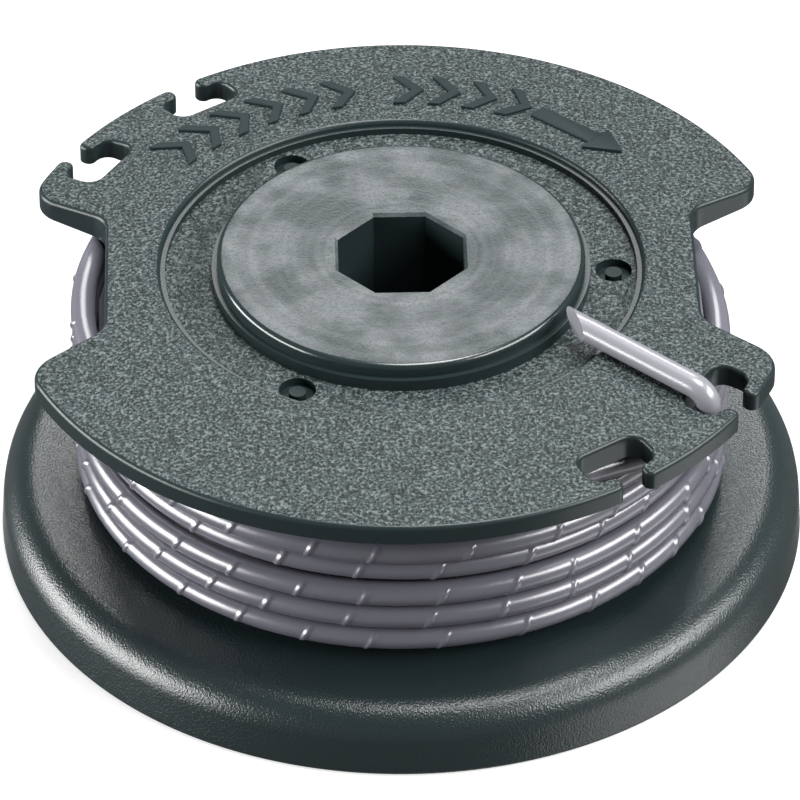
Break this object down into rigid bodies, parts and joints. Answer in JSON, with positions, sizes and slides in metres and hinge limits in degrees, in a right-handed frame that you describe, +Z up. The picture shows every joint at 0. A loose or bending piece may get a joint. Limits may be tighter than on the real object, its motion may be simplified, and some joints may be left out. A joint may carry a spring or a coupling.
{
  "type": "trimmer line spool",
  "caption": "Moulded spool for a lawn trimmer: wide base, notched top flange with line slots, eight-sided drive socket and nylon cutting line wound on its drum.",
  "frame": {"origin": "centre of the base's underside, on the ground", "axes": "+Z up along the spool's axis through the boss; the top flange's two side notches lie on +X and -X"},
  "size_m": [0.0534, 0.0534, 0.0229],
  "materials": {
    "body": "black glass-filled nylon with a fine eroded grain",
    "line": "clear grey nylon, glossy"
  },
  "bodies": {
    "root": {"spool_body": "body", "trimmer_line": "line"}
  },
  "joints": []
}
